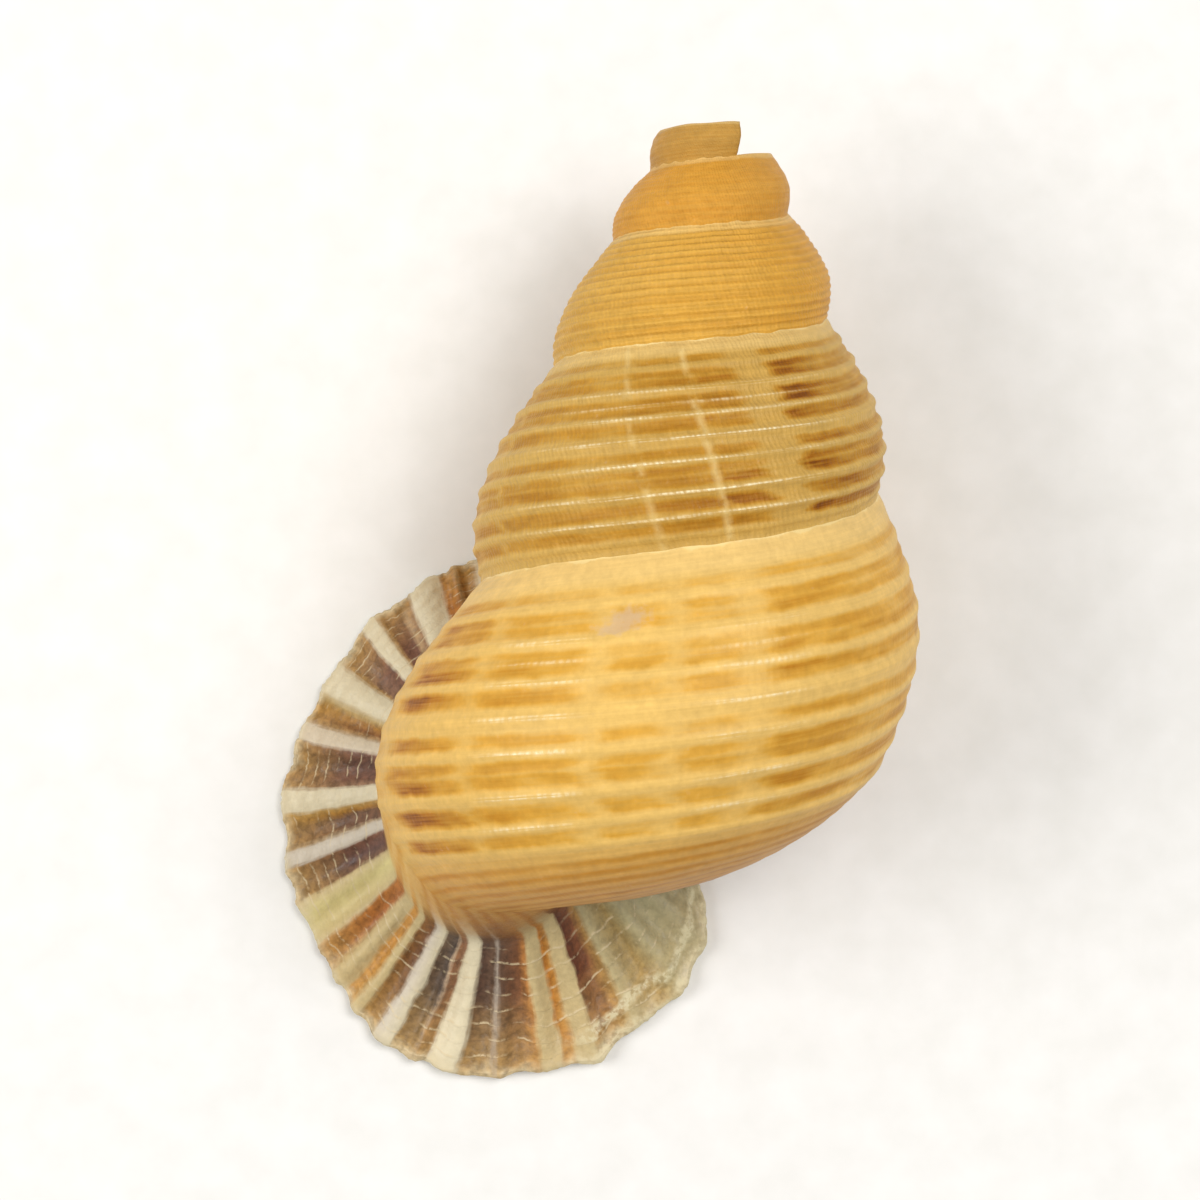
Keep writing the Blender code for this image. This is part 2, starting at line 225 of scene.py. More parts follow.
def cord_line(share, k):
    """The cord line at a share of the side; on the spire the cords lie a little higher than at the end."""
    rise = np.interp(k, [3.4, 4.85], [1.0, 0.0])
    return share + rise * (0.045 * (1 - np.exp(-share / 0.05)) + 0.03 * share)


def growth_age(k, cord):
    """The growth line through a place: on the spire the lines lean, on the last turn they stand straight."""
    lean = np.interp(k, [1.0, 2.42, 2.52, 2.64, 2.9, 3.2, 4.0], [0.09, 0.10, 0.13, 0.14, 0.11, 0.11, 0.02])
    return k + lean * (cord - 0.5)


def whorl_rows(k):
    """Rows (radius, along) of half turn k with their relief, and the cord line of each row."""
    on_body = k >= BODY_START - 1e-9
    low = base_points(k)[0] if on_body else spline(SUTURE, k + 2)
    shares = np.linspace(0, 1, SIDE_ROWS + 1)
    line, length = spaced(side_curve(k, low), shares)
    cord = cord_line(shares, k)
    if on_body:
        base, base_length = spaced(smooth_line(base_points(k)), np.linspace(0, 1, BASE_ROWS + 1))
        line = np.vstack([line, base[1:]])
        cord = np.concatenate([cord, cord[-1] + np.linspace(0, 1, BASE_ROWS + 1)[1:] * base_length / length])
    age = growth_age(k, cord)
    high = cord_relief(cord, k)
    # The mantle's halts leave low ridges, and the surface is never quite even.
    for halt, height in HALTS:
        high = high + height * np.exp(-((age - halt) / 0.008) ** 2)
    high = high + 0.018 * ripple(k * 9.0, cord * 9.0, 5) + 0.008 * ripple(k * 30.0, cord * 20.0, 8)
    scar = np.zeros_like(cord)
    for (turn, middle), wide, tall in SCAR:
        scar = np.maximum(scar, np.exp(-(((k - turn) / wide) ** 2 + ((cord - middle) / tall) ** 2)))
    high = high - 0.04 * scar
    # Nothing lifts at the sutures, where two whorls share a row, but the seam itself wanders a little.
    ends = smooth_step(shares, 0.0, 0.03) * (1 - smooth_step(shares, 0.975, 1.0) * (0 if on_body else 1))
    ends = np.concatenate([ends, np.ones(len(cord) - len(ends))])
    fade = np.concatenate([np.exp(-shares / 0.03), np.zeros(len(cord) - len(shares))])
    rows = line + outward(line) * (high * ends)[:, None]
    rows[:, 1] += fade * seam(k)
    if not on_body:
        rows[:, 1] += np.exp(-(1 - shares) / 0.03) * seam(k + 2)
    return rows, cord, age, scar


def seam(k):
    """How far the suture wanders along the axis at half turn k."""
    if k < RIM[-1][0]:
        return 0.03 * float(ripple(k * 22.0, 0.0, 3))
    return 0.022 * float(ripple(k * 60.0, 0.0, 4)) + 0.012 * float(ripple(k * 190.0, 0.0, 6))


def axis_frame():
    """Unit vectors: down the axis, across it to the right, and across it upwards."""
    lean, pitch = AXIS_LEAN, AXIS_PITCH
    down = np.array([-math.sin(lean) * math.cos(pitch), -math.cos(lean) * math.cos(pitch), -math.sin(pitch)])
    right = np.array([math.cos(lean), -math.sin(lean), 0.0])
    return down, right, np.cross(down, right)


def place(k, rows):
    """Rows (radius, along) of half turn k as points in space."""
    down, right, up = axis_frame()
    rows = np.atleast_2d(rows)
    out = math.cos(math.pi * k) * right + math.sin(math.pi * k) * up
    lift = REST_HEIGHT + REST_ALONG * math.sin(AXIS_PITCH)
    origin = np.array([AXIS_X, AXIS_Y, lift])
    return origin + rows[:, :1] * out + rows[:, 1:] * down


def growth_values(turn, cord, age, scar=0.0, sweep=0.0, reach=-1.0):
    """One row for GROWTH: where and when a point grew, with the count of threads up to there."""
    return turn, cord, age, thread_count(age), scar, sweep, reach


GROWTH = ("turn", "cord", "age", "threads", "scar", "sweep", "reach")
CORD, SWEEP = GROWTH.index("cord"), GROWTH.index("sweep")
WHORL, LIP, THROAT = range(3)   # the order of the materials


class Surface:
    """Points, their growth values and the faces of the shell as it grows."""

    def __init__(self):
        self.points, self.values, self.faces, self.kinds, self.own = [], [], [], [], []

    def add(self, point, *values):
        self.points.append(point)
        self.values.append(growth_values(*values))
        return len(self.points) - 1

    def face(self, kind, *corners):
        self.faces.append(corners)
        self.kinds.append(kind)

    def corner_values(self, mesh):
        """One row of growth values for each face corner; at a suture each whorl keeps its own."""
        corners = np.empty(len(mesh.loops), np.int32)
        mesh.loops.foreach_get("vertex_index", corners)
        rows = np.array(self.values)[corners]
        for face, point, values in self.own:
            polygon = mesh.polygons[face]
            spot = polygon.loop_start + list(polygon.vertices).index(point)
            rows[spot] = values
        return rows


def grow_whorls(skin):
    """The coiled tube and its base; returns the open edge where the lip starts."""
    count = round((END - START) * STEPS)
    ks = END - (count - np.arange(count + 1)) / STEPS
    turn = 2 * STEPS
    ids = []
    for i, k in enumerate(ks):
        rows, cord, age, scar = whorl_rows(k)
        column = []
        for j, point in enumerate(place(k, rows)):
            if j == 0 and i >= turn:
                column.append(ids[i - turn][SIDE_ROWS])
            else:
                column.append(skin.add(point, k, cord[j], age[j], scar[j]))
        ids.append(column)
    for i in range(count):
        for j in range(min(len(ids[i]), len(ids[i + 1])) - 1):
            skin.face(WHORL, ids[i][j], ids[i][j + 1], ids[i + 1][j + 1], ids[i + 1][j])
            for n in (i, i + 1):
                if j == 0 and n >= turn:
                    own = growth_values(ks[n], 0.0, float(growth_age(ks[n], 0.0)))
                    skin.own.append((len(skin.faces) - 1, ids[n][0], own))
    close_top(skin, [ids[i][0] for i in range(turn)] + ids[0][:0:-1])
    first = count - turn
    pole = skin.add(place(0, (0.0, 18.9))[0], 4.0, 1.7, 4.0)
    for i in range(first, count):
        skin.face(WHORL, ids[i + 1][-1], ids[i][-1], pole)
    return ids[count] + [pole] + ids[first][:SIDE_ROWS:-1]


def close_top(skin, rim):
    """The worn top: a shallow plug of shell in rings from the broken rim to the middle."""
    middle = place(0, (0.0, CAP_ALONG))[0]
    down = axis_frame()[0]
    last = rim
    for r in range(1, CAP_RINGS):
        share = 1 - r / CAP_RINGS
        ring_ids = []
        for n, corner in enumerate(rim):
            spot = middle + (np.array(skin.points[corner]) - middle) * share
            sink = 0.16 * math.sin(math.pi * share) * (1 + 0.3 * math.sin(n * 0.11))
            ring_ids.append(skin.add(spot + down * sink, START, share, START))
        for a in range(len(rim)):
            b = (a + 1) % len(rim)
            skin.face(WHORL, last[b], last[a], ring_ids[a], ring_ids[b])
        last = ring_ids
    top = skin.add(middle, START, 0.0, START)
    for a in range(len(rim)):
        skin.face(WHORL, last[(a + 1) % len(rim)], last[a], top)


def polar_radius(outline, centre, angles):
    """How far a closed outline is from the centre at each angle."""
    offset = np.array(outline) - centre
    at = np.unwrap(np.arctan2(offset[:, 1], offset[:, 0]))
    reach = np.hypot(*offset.T)
    order = np.argsort(at % (2 * math.pi))
    return np.interp(angles, (at % (2 * math.pi))[order], reach[order], period=2 * math.pi)


def smooth_outline(points):
    """The closed outline with points in between."""
    return smooth_line(np.array(points + points[:3], float), 12)[12:-24]


def neck_radius(angles):
    """The neck's oval seen from above, fuller where it leaves the base."""
    turned = angles - NECK_TURN
    fuller = NECK_FULLER * np.exp(-((np.degrees(angles) % 360 - 282) / 22) ** 2)
    return 1 / np.hypot(np.cos(turned) / NECK[0], np.sin(turned) / NECK[1]) + fuller


def section_height(xy):
    """The height of the plane in which the last whorl ends, at points seen from above."""
    up = axis_frame()[2]
    origin = place(0, (0.0, 0.0))[0]
    return origin[2] - ((xy - origin[:2]) @ up[:2]) / up[2]


def ring(centre, angles, reach, height):
    """Points at the given distances round a centre, at one height or one height each."""
    spot = np.array(centre) + np.stack([np.cos(angles), np.sin(angles)], axis=1) * reach[:, None]
    return np.column_stack([spot, np.broadcast_to(height, len(spot))])


def sweep_of(angles, f):
    """Degrees along the ribs, which turn back a little from the neck to the edge."""
    degrees = np.degrees(angles)
    leaning = smooth_step(degrees, 96, 110) * (1 - smooth_step(degrees, 255, 272))
    return degrees + RAY_LEAN * (f - 0.5) * leaning


def rib_height(sweep):
    """-1 in the valleys between the ribs and 1 on their crests, flatter on top than a sine."""
    valleys = np.array(PLEATS + [PLEATS[0] + 360])
    phase = np.interp((sweep - valleys[0]) % 360 + valleys[0], valleys, np.arange(len(valleys)))
    wave = -np.cos(2 * math.pi * phase)
    return np.where(wave > 0, np.abs(wave) ** 0.75, -np.abs(wave))


def neck_layers(start, neck):
    """Rings down the neck; the first lies a little way down, and the whorl's edge is joined to it."""
    layers = []
    for t in np.linspace(0, 1, NECK_RINGS + 1)[:-1]:
        mixed = start + (neck - start) * smooth_step(t, 0, 1)
        mixed[:, 2] = start[:, 2] + (neck[:, 2] - start[:, 2]) * (t or FIRST_RING)
        layers.append((t - 1, mixed, LIP))
    return layers


def flare_layers(neck, outline, angles):
    """Rings out over the flare, with its ribs, its chipped margin and the thin lamellae that step down it."""
    degrees = np.degrees(angles)
    # The right lobe carries a thick ridge of layers near its edge.
    thick = smooth_step(degrees % 360, 282, 296) * (1 - smooth_step(degrees % 360, 332, 345))
    layers = []
    for f in np.linspace(0, 1, FLARE_RINGS + 1):
        rib = rib_height(sweep_of(angles, f))
        chips = 0.035 * ripple(degrees * 0.9, f * 2.0, 21) + 0.02 * ripple(degrees * 3.1, f * 2.0, 22)
        edge = ring(LIP_CENTRE, angles, outline + PLEAT_WAVE * rib * f + chips * f, LIP_EDGE)
        flare = neck + (edge - neck) * f
        flare[:, 2] = LIP_EDGE + (NECK_HIGH - LIP_EDGE) * (1 - f) ** 2
        flare[:, 2] += PLEAT_HIGH * rib * min(f / 0.3, 1.0) * (1 - 0.6 * float(smooth_step(f, 0.8, 1.0)))
        step = (f * 6.5 + 0.5 * ripple(degrees * 0.16, 0.0, 24)) % 1.0
        flare[:, 2] += 0.030 * (step - 0.5) * float(smooth_step(f, 0.1, 0.3))
        off_ridge = (f - 0.84 - 0.03 * ripple(degrees * 0.4, 0.0, 25)) / 0.05
        flare[:, 2] += 0.14 * thick * np.exp(-off_ridge ** 2)
        layers.append((f, flare, LIP))
    return layers


def rim_layers(edge, outline, angles):
    """Rings down over the lip's edge and in under it to the mouth."""
    around = polar_radius(edge[:, :2], LIP_CENTRE, angles)
    layers = []
    for inset, height in ((-0.02, 0.62), (-0.01, 0.26)):
        lower = ring(LIP_CENTRE, angles, around - inset, edge[:, 2] * height)
        layers.append((1.02, lower, LIP))
    for inset in (0.08, 0.3):
        layers.append((1.05 + inset * 0.1, ring(LIP_CENTRE, angles, around - inset, 0.0), THROAT))
    layers.append((1.1, ring(LIP_CENTRE, angles, outline - MOUTH_INSET, 0.0), THROAT))
    return layers


def mouth_layers(inner_edge, inner_neck, angles):
    """Rings up the inside of the flare, where the ribs show faintly."""
    layers = []
    for f in np.linspace(0, 1, MOUTH_RINGS + 1)[1:]:
        mixed = inner_edge + (inner_neck - inner_edge) * f
        rib = rib_height(sweep_of(angles, 1 - f))
        mixed[:, 2] = inner_neck[:, 2] * f ** 2.2 + 0.05 * rib * math.sin(math.pi * f)
        layers.append((1.1 + f * 0.9, mixed, THROAT))
    return layers


def throat_layers(inner_neck, reach, angles):
    """Rings up the throat and on round the coil."""
    reach = np.minimum(reach - WALL - 0.1, 3.1)
    near = np.linspace(-0.35, 0.35, 9)
    soft = np.array([np.mean(np.interp(a + near, angles, reach, period=2 * math.pi)) for a in angles])
    throat = ring(MIDDLE, angles, soft, 0.0)
    throat[:, 2] = section_height(throat[:, :2])
    layers = [(2.0 + t * 0.5, inner_neck + (throat - inner_neck) * t, THROAT)
              for t in np.linspace(0, 1, THROAT_RINGS + 1)[1:]]
    down, right, _ = axis_frame()
    origin = place(0, (0.0, 0.0))[0]
    flat = np.stack([(throat - origin) @ -right, (throat - origin) @ down], axis=1)
    wide_end = spline(WIDEST, END)
    for k in np.linspace(END, THROAT_END, SPIRAL_RINGS + 1)[1:]:
        wide = spline(WIDEST, k)
        size = wide[0] / wide_end[0]
        rows = np.column_stack([flat[:, 0] * size, wide[1] + (flat[:, 1] - wide_end[1]) * size])
        layers.append((2.6 + (END - k) * 0.4, place(k, rows), THROAT))
    return layers


def lip_layers(angles, section):
    """All rings of the lip from the last whorl's end to the throat's, as (reach, points, material)."""
    reach = polar_radius(section[:, :2], MIDDLE, angles)
    start = ring(MIDDLE, angles, reach, 0.0)
    start[:, 2] = section_height(start[:, :2])
    oval = neck_radius(angles)
    neck = ring(NECK_CENTRE, angles, oval, NECK_HIGH)
    inner_neck = ring(NECK_CENTRE, angles, oval - WALL, NECK_HIGH * 0.80)
    outline = polar_radius(smooth_outline(OUTLINE), LIP_CENTRE, angles)
    flare = flare_layers(neck, outline, angles)
    rim = rim_layers(flare[-1][1], outline, angles)
    return (neck_layers(start, neck) + flare + rim + mouth_layers(rim[-1][1], inner_neck, angles)
            + throat_layers(inner_neck, reach, angles))


def soften_neck(layers):
    """Rounds the inner corner where the neck turns out into the flare."""
    reaches, rings, kinds = map(list, zip(*layers))
    corner = next(i for i, reach in enumerate(reaches) if reach >= 0)
    for _ in range(3):
        before = [r.copy() for r in rings]
        for i in range(corner - 4, corner + 5):
            rings[i] = (before[i - 1] + 2 * before[i] + before[i + 1]) / 4
    return list(zip(reaches, rings, kinds))


def join_loops(skin, loop, angles, ring_ids, ring_angles):
    """Triangles between the whorl's open edge and the first ring of the lip, matched by angle."""
    order = np.argsort(angles)
    a_ids = [loop[i] for i in order]
    a = list(angles[order]) + [angles[order][0] + 2 * math.pi]
    b = list(ring_angles) + [ring_angles[0] + 2 * math.pi]
    i = j = 0
    n, m = len(a_ids), len(ring_ids)
    while i < n or j < m:
        if j >= m or (i < n and a[i + 1] <= b[j + 1]):
            corners = (a_ids[i % n], a_ids[(i + 1) % n], ring_ids[j % m])
            i += 1
        else:
            corners = (a_ids[i % n], ring_ids[(j + 1) % m], ring_ids[j % m])
            j += 1
        skin.face(LIP, *corners)
        # On the neck's side the whorl's edge takes the sweep of the ring below it.
        for point in set(corners) & set(a_ids):
            own = growth_values(END, skin.values[point][CORD], END, sweep=skin.values[corners[-1]][SWEEP])
            skin.own.append((len(skin.faces) - 1, point, own))


def grow_lip(skin, loop):
    """The neck, flare, edge and throat, grown on from the open edge of the last whorl."""
    section = np.array([skin.points[i] for i in loop])
    loop_angles = np.arctan2(section[:, 1] - MIDDLE[1], section[:, 0] - MIDDLE[0]) % (2 * math.pi)
    angles = np.arange(LIP_COLUMNS) * 2 * math.pi / LIP_COLUMNS
    # The cord lines of the whorl run on down the neck.
    cords = np.interp(angles, loop_angles, [skin.values[i][CORD] for i in loop], period=2 * math.pi)
    last = None
    for reach, points, kind in soften_neck(lip_layers(angles, section)):
        degrees = sweep_of(angles, min(max(reach, 0.0), 1.0))
        points[:, 2] = np.maximum(points[:, 2], 0.0)
        ids = [skin.add(p, END, c, END, 0.0, s, reach) for p, c, s in zip(points, cords, degrees)]
        if last is None:
            join_loops(skin, loop, loop_angles, ids, angles)
        else:
            for a in range(LIP_COLUMNS):
                b = (a + 1) % LIP_COLUMNS
                skin.face(kind, last[a], last[b], ids[b], ids[a])
        last = ids
    end = skin.add(np.mean([skin.points[i] for i in last], axis=0), 5.0, 0.5, 5.0, 0.0, 180.0, 3.2)
    for a in range(LIP_COLUMNS):
        skin.face(THROAT, last[a], last[(a + 1) % LIP_COLUMNS], end)


def make_shell(materials):
    """One closed mesh with the growth values as attributes for its materials."""
    skin = Surface()
    grow_lip(skin, grow_whorls(skin))
    points = (np.array(skin.points) + SHIFT) * MM
    # The belly's lowest spot rests on the table and is worn flat there.
    points[:, 2] = np.maximum(points[:, 2], 0.0)
    mesh = bpy.data.meshes.new("grown_shell")
    mesh.from_pydata(points.tolist(), [], skin.faces)
    for material in materials:
        mesh.materials.append(material)
    mesh.polygons.foreach_set("material_index", np.array(skin.kinds, np.int32))
    work = bmesh.new()
    work.from_mesh(mesh)
    bmesh.ops.recalc_face_normals(work, faces=work.faces[:])
    for face in work.faces:
        face.smooth = True
    work.to_mesh(mesh)
    work.free()
    rows = skin.corner_values(mesh).astype(np.float32)
    for column, name in enumerate(GROWTH):
        layer = mesh.attributes.new(name, "FLOAT", "CORNER")
        layer.data.foreach_set("value", rows[:, column].copy())
    obj = bpy.data.objects.new("grown_shell", mesh)
    bpy.context.scene.collection.objects.link(obj)
    return obj


def colour(code):
    """An sRGB hex colour as linear values."""
    parts = [int(code[i:i + 2], 16) / 255 for i in (1, 3, 5)]
    return tuple(c / 12.92 if c <= 0.04045 else ((c + 0.055) / 1.055) ** 2.4 for c in parts) + (1.0,)


def add_node(tree, kind, inputs=(), out=None, stops=(), **settings):
    """Adds a node with its settings; an input takes a value, a hex colour or another node's output.

    It gives back the output named, or the first one in use.
    """
    node = tree.nodes.new("ShaderNode" + kind)
    for name, value in settings.items():
        setattr(node, name, value)
    if stops:
        ramp = node.color_ramp
        while len(ramp.elements) < len(stops):
            ramp.elements.new(1.0)
        for element, (position, value) in zip(ramp.elements, stops):
            element.position = position
            element.color = colour(value) if isinstance(value, str) else (value, value, value, 1.0)
    for socket, value in dict(inputs).items():
        if isinstance(value, bpy.types.NodeSocket):
            tree.links.new(value, node.inputs[socket])
        else:
            node.inputs[socket].default_value = colour(value) if isinstance(value, str) else value
    return node.outputs[out] if out else next(o for o in node.outputs if o.enabled)


def span(low, high, to_low=0.0, to_high=1.0):
    """The range that a value comes from and the range that it goes to."""
    return {"From Min": low, "From Max": high, "To Min": to_low, "To Max": to_high}


def start_material(name, *values):
    """A new material, what adds nodes to it, its shader, and the growth values that the surface carries."""
    material = bpy.data.materials.new(name)
    material.use_nodes = True
    tree = material.node_tree
    add = partial(add_node, tree)
    grown = [add("Attribute", out="Fac", attribute_name=value) for value in values]
    spot = add("TexCoord", out="Object")
    return material, add, tree.nodes["Principled BSDF"], spot, grown


def laid_down(add, value, table):
    """The colour or amount that the mantle laid down along a growth value, from a table."""
    start, end = table[0][0], table[-1][0]
    share = add("MapRange", {"Value": value, **span(start, end)})
    stops = [((at - start) / (end - start), what) for at, what in table]
    return add("ValToRGB", {"Fac": share}, stops=stops)


def stretched_noise(add, sheet, scales, **settings):
    """Noise that is drawn out along the shell's growth."""
    at = add("VectorMath", {0: sheet, 1: scales}, operation="MULTIPLY")
    return add("TexNoise", {"Vector": at, "Scale": 1.0, **settings})


# Ground colour of the shell wall by half turn: olive on the worn top, orange on the first whorls, then
# golden tan.
GROUND = [(-4.0, "#BA8D42"), (-3.4, "#BA8D42"), (-2.7, "#BE8B3C"), (-1.5, "#CB9236"), (-0.5, "#CD943A"),
          (0.3, "#CF9A3C"), (1.0, "#CBA04A"), (2.1, "#C8A256"), (2.5, "#BC9448"), (2.9, "#C7A154"),
          (3.6, "#D6AE60"), (4.2, "#DCB466"), (4.6, "#DCB464"), (5.2, "#D2A655")]
# The base is a deeper tan, as (cord line, how much of it).
DEEP_BASE = "#B87C26"
DEEPENING = [(1.0, 0.0), (1.12, 0.55), (1.6, 0.9), (2.0, 1.0)]
# What brown pigment leaves of the ground colour, from none to most.
PIGMENT = [(0.0, "#FFFFFF"), (0.25, "#F0DDA2"), (0.5, "#DBBF74"), (0.75, "#C59A34"), (1.0, "#9A6C16")]
# Brown interspaces between the cords, as (cord line, how brown).
UPPER_BANDS = [(0.05, 0.0), (0.116, 0.0), (0.132, 0.50), (0.154, 0.50), (0.170, 0.0), (0.196, 0.0),
               (0.212, 0.80), (0.230, 0.75), (0.244, 0.42), (0.258, 0.80), (0.280, 0.85), (0.298, 0.0),
               (0.335, 0.0), (0.352, 0.85), (0.370, 0.80), (0.384, 0.50), (0.400, 0.90), (0.420, 0.95),
               (0.440, 0.0), (0.460, 0.0), (0.480, 1.0), (0.512, 1.0), (0.535, 0.0), (0.60, 0.0)]
LOWER_BANDS = [(0.58, 0.0), (0.604, 0.0), (0.624, 0.80), (0.646, 0.80), (0.666, 0.0), (0.692, 0.0),
               (0.710, 0.90), (0.728, 0.85), (0.740, 0.50), (0.754, 0.95), (0.782, 1.0), (0.803, 0.0),
               (0.838, 0.0), (0.860, 1.0), (0.896, 1.0), (0.918, 0.0), (0.942, 0.0), (0.962, 1.0),
               (0.990, 1.0), (1.012, 0.0), (1.05, 0.0)]
# The mantle paused again and again, so the bands are broken into blocks, as (age, how brown).
SPIRE_BLOCKS = [(1.9, 0.30), (2.05, 0.34), (2.14, 0.46), (2.22, 0.60), (2.27, 0.85), (2.30, 1.0),
                (2.33, 0.92), (2.355, 0.06), (2.405, 0.04), (2.43, 0.56), (2.48, 0.66), (2.493, 0.30),
                (2.51, 0.54), (2.59, 0.50), (2.612, 0.34), (2.67, 0.30), (2.72, 0.40), (2.80, 0.46),
                (2.865, 0.46), (2.885, 0.18), (2.90, 0.42), (3.1, 0.40)]
BODY_BLOCKS = [(3.9, 0.40), (4.10, 0.42), (4.22, 0.42), (4.28, 0.50), (4.37, 0.52), (4.40, 0.14),
               (4.42, 0.12), (4.445, 0.30), (4.485, 0.30), (4.503, 0.10), (4.512, 0.10), (4.535, 0.30),
               (4.575, 0.32), (4.595, 0.08), (4.606, 0.08), (4.63, 0.32), (4.69, 0.38), (4.735, 0.42),
               (4.754, 0.18), (4.762, 0.18), (4.785, 0.58), (4.80, 0.60), (4.83, 0.76), (4.855, 0.80),
               (4.88, 0.78), (4.900, 0.50), (4.922, 0.12), (4.94, 0.10), (5.0, 0.28), (5.1, 0.32)]


def band_amount(add, cord):
    """Where the bands run along the whorls."""
    upper, lower = laid_down(add, cord, UPPER_BANDS), laid_down(add, cord, LOWER_BANDS)
    return add("Math", {0: upper, 1: lower}, operation="ADD")


def brown_amount(add, turn, cord, age, hatch, streak, patchy):
    """How much brown the mantle laid down: bands on the whorls, broken into blocks, and lines on the base."""
    bands = band_amount(add, cord)
    # Each band's blocks end a little out of line with the next, and their ends are ragged.
    place_on = add("Math", {0: cord, 1: 17.0}, operation="MULTIPLY")
    jag = add("TexNoise", {"W": place_on, "Scale": 1.0, "Detail": 1.0}, noise_dimensions="1D")
    late = add("Math", {0: jag, 1: 0.044, 2: age}, operation="MULTIPLY_ADD")
    ragged = add("Math", {0: hatch, 1: 0.016, 2: late}, operation="MULTIPLY_ADD")
    place_on = add("Math", {0: ragged, 1: 0.030}, operation="SUBTRACT")
    last_turn = add("MapRange", {"Value": turn, **span(3.3, 3.8)})
    blocks = add("Mix", {"Factor": last_turn, "A": laid_down(add, place_on, SPIRE_BLOCKS),
                         "B": laid_down(add, place_on, BODY_BLOCKS)}, data_type="RGBA")
    pattern = add("Math", {0: bands, 1: blocks}, operation="MULTIPLY")
    # Faint spots only on the early whorls, and no band is brown all along.
    early = add("MapRange", {"Value": turn, **span(0.9, 1.9, 0.30)})
    pattern = add("Math", {0: pattern, 1: early}, operation="MULTIPLY")
    lines = base_lines(add, turn, cord)
    drawn = add("Math", {0: pattern, 1: lines}, operation="MAXIMUM")
    uneven = add("MapRange", {"Value": streak, **span(0.3, 0.7, 0.70, 1.26)})
    drawn = add("Math", {0: drawn, 1: uneven}, operation="MULTIPLY")
    patches = add("MapRange", {"Value": patchy, **span(0.34, 0.62, 0.52, 1.18)})
    return add("Math", {0: drawn, 1: patches}, operation="MULTIPLY", use_clamp=True)


def base_lines(add, turn, cord):
    """Fine brown lines on the base, 0.5 mm apart."""
    spacing = 0.056
    phase = add("Math", {0: cord, 1: 2 * math.pi / spacing, 2: -2 * math.pi * 1.1 / spacing},
                operation="MULTIPLY_ADD")
    wave = add("Math", {0: phase}, operation="COSINE")
    line = add("MapRange", {"Value": wave, **span(-0.6, 1.0, 0.0, 0.30)})
    below = add("MapRange", {"Value": cord, **span(1.045, 1.08)})
    body = add("MapRange", {"Value": turn, **span(3.2, 3.6)})
    here = add("Math", {0: below, 1: body}, operation="MULTIPLY")
    return add("Math", {0: line, 1: here}, operation="MULTIPLY")


def early_net(add, turn, cord):
    """The even cords of the early whorls, which the threads cross in a net of fine beads."""
    phase = add("Math", {0: cord, 1: 2 * math.pi / EARLY_SPACING, 2: -2 * math.pi * 0.13 / EARLY_SPACING},
                operation="MULTIPLY_ADD")
    wave = add("Math", {0: phase}, operation="COSINE")
    share = laid_down(add, turn, [(-1.5, 0.0), (0.0, 1.0), (1.1, 1.0), (1.8, 0.0)])
    return add("Math", {0: wave, 1: share}, operation="MULTIPLY")


def bead_glint_amount(add, turn, cord, thread, streak):
    """Pale dots in short rows on the beads of the main cords: painted highlights, only in the columns where
    the beads face the lights.
    """
    rows = []
    for line, bright in ((0.315, 0.6), (0.385, 0.5), (0.452, 0.8), (0.565, 1.0), (0.677, 1.0), (0.818, 1.0),
                         (0.928, 0.8)):
        rows += [(line - 0.011, 0.0), (line, bright), (line + 0.011, 0.0)]
    line = laid_down(add, cord, [(0.2, 0.0)] + rows + [(1.1, 0.0)])
    # The half turns where the glints are painted, in two columns on each whorl.
    glint_columns = laid_down(add, turn, [(2.2, 0.0), (2.27, 0.3), (2.36, 1.0), (2.68, 1.0), (2.76, 0.3), (2.82, 0.0),
                                (4.33, 0.0), (4.38, 0.7), (4.44, 0.7), (4.48, 0.0), (4.60, 0.0), (4.64, 1.0),
                                (4.70, 1.0), (4.75, 0.0)])
    broken = add("MapRange", {"Value": streak, **span(0.42, 0.54)})
    dots = add("MapRange", {"Value": thread, **span(-0.6, 0.9, 0.2)})
    for share in (glint_columns, broken, dots):
        line = add("Math", {0: line, 1: share}, operation="MULTIPLY")
    return line


def pale_lines(add, turn, cord, age, rough, wander):
    """Cream lines: two halts in growth, a scratch on an early whorl and the broken edge along the suture."""
    shaky = add("Math", {0: rough, 1: 0.010, 2: age}, operation="MULTIPLY_ADD")
    halts = laid_down(add, shaky, [(0.3, 0.0), (0.474, 0.0), (0.476, 0.5), (0.478, 0.0), (2.5035, 0.0),
                                   (2.5050, 0.7), (2.5065, 0.0), (2.6172, 0.0), (2.619, 1.0), (2.6208, 0.0),
                                   (3.0, 0.0)])
    some = add("MapRange", {"Value": wander, **span(0.40, 0.52)})
    halts = add("Math", {0: halts, 1: some}, operation="MULTIPLY")
    ragged = add("Math", {0: wander, 1: -0.080, 2: cord}, operation="MULTIPLY_ADD")
    edge = add("MapRange", {"Value": ragged, **span(-0.038, -0.030, 0.60, 0.0)})
    late = add("MapRange", {"Value": turn, **span(1.5, 1.9)})
    edge = add("Math", {0: edge, 1: late}, operation="MULTIPLY")
    return add("Math", {0: halts, 1: edge}, operation="MAXIMUM")


